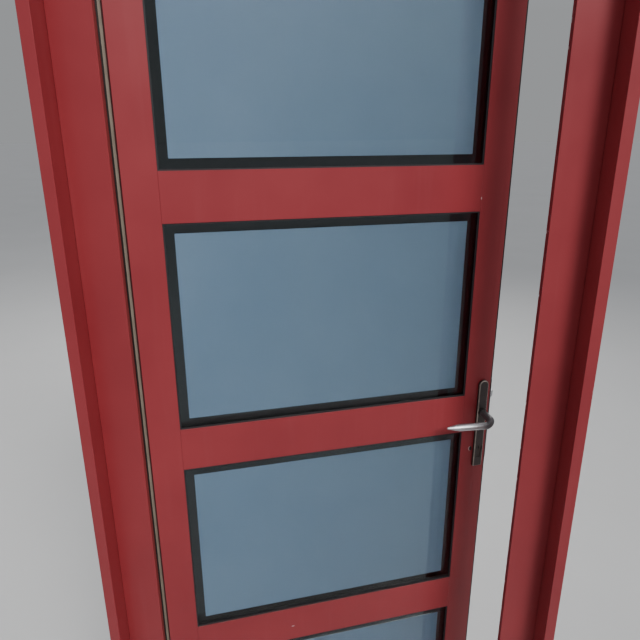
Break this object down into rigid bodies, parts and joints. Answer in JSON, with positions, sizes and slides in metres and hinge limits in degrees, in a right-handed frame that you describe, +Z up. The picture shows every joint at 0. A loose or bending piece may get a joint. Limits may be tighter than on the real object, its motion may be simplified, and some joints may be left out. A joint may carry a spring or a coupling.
{
  "type": "glass entrance door",
  "caption": "Glazed entrance door in its own frame, with stacked satin panes between cross rails, a narrow lever handle set and a mortise lock, standing ajar.",
  "frame": {"origin": "on the floor under the threshold, in the middle of the opening, at the outer face of the frame", "axes": "+X to the right seen from outside, +Y into the building, +Z up"},
  "size_m": [0.954, 0.329, 2.212],
  "materials": {
    "red_paint": "satin powder coat",
    "hinge_paint": "satin powder coat",
    "mill_aluminium": "mill finish",
    "glass": "clear, with a satin field",
    "black_rubber": "matt",
    "grey_rubber": "matt",
    "block_plastic": "matt",
    "zinc_steel": "zinc plated",
    "screw_steel": "zinc plated",
    "cylinder_nickel": "satin nickel",
    "dark_metal": "dull dark satin",
    "lever_metal": "worn satin"
  },
  "bodies": {
    "frame": {"hinge_jamb": "red_paint", "lock_jamb": "red_paint", "head": "red_paint", "threshold": "mill_aluminium", "hinge_side_trim": "red_paint", "lock_side_trim": "red_paint", "head_trim": "red_paint", "frame_corner_cleats": "mill_aluminium", "strike_plate": "zinc_steel", "hinge_1_frame_half": "hinge_paint", "hinge_2_frame_half": "hinge_paint", "hinge_3_frame_half": "hinge_paint"},
    "leaf": {"hinge_stile": "red_paint", "lock_stile": "red_paint", "top_rail": "red_paint", "bottom_rail": "red_paint", "cross_rail_1": "red_paint", "cross_rail_2": "red_paint", "cross_rail_3": "red_paint", "glazing_beads_1": "red_paint", "glazing_beads_2": "red_paint", "glazing_beads_3": "red_paint", "glazing_beads_4": "red_paint", "hinge_1_leaf_half": "hinge_paint", "hinge_2_leaf_half": "hinge_paint", "hinge_3_leaf_half": "hinge_paint", "leaf_connectors": "mill_aluminium", "spacer_1": "mill_aluminium", "spacer_2": "mill_aluminium", "spacer_3": "mill_aluminium", "spacer_4": "mill_aluminium", "outer_pane_1": "glass", "inner_pane_1": "glass", "outer_pane_2": "glass", "inner_pane_2": "glass", "outer_pane_3": "glass", "inner_pane_3": "glass", "outer_pane_4": "glass", "inner_pane_4": "glass", "gasket_1": "black_rubber", "gasket_2": "black_rubber", "gasket_3": "black_rubber", "gasket_4": "black_rubber", "leaf_seal": "grey_rubber", "bottom_sweep": "grey_rubber", "setting_blocks": "block_plastic", "lock_case": "zinc_steel", "plate_screws": "screw_steel", "cylinder_body": "cylinder_nickel", "outside_plate": "dark_metal", "inside_plate": "dark_metal"},
    "levers": {"outside_lever": "lever_metal", "inside_lever": "lever_metal", "spindle": "zinc_steel", "lock_hub": "zinc_steel"},
    "latch": {"latch_bolt": "zinc_steel"},
    "plug": {"cylinder_plug": "cylinder_nickel"},
    "bolt": {"deadbolt": "zinc_steel"}
  },
  "joints": [
    {"name": "leaf_swing", "type": "hinge", "parent": "frame", "child": "leaf", "pos_m": [-0.388, 0.047, 1.086], "axis": [0, 0, 1], "range_deg": [-14.2, 75.8]},
    {"name": "lever_turn", "type": "hinge", "parent": "leaf", "child": "levers", "pos_m": [0.34431, 0.18382, 1.086], "axis": [0.2453, -0.9694, 0], "range_deg": [0, 40], "stiffness_Nm_per_rad": 0.9, "springref_deg": -28.65},
    {"name": "latch_slide", "type": "slide", "parent": "leaf", "child": "latch", "axis": [-0.9694, -0.2453, 0], "range_m": [0, 0.011]},
    {"name": "cylinder_turn", "type": "hinge", "parent": "leaf", "child": "plug", "pos_m": [0.34431, 0.18382, 0.994], "axis": [0.2453, -0.9694, 0], "range_deg": [0, 360]},
    {"name": "deadbolt_slide", "type": "slide", "parent": "leaf", "child": "bolt", "axis": [0.9694, 0.2453, 0], "range_m": [0, 0.02]}
  ],
  "couplings": [
    {"joint": "latch_slide", "follows": "lever_turn", "m_per_rad": 0.01575},
    {"joint": "cylinder_turn", "follows": "deadbolt_slide", "rad_per_m": 314.16}
  ]
}
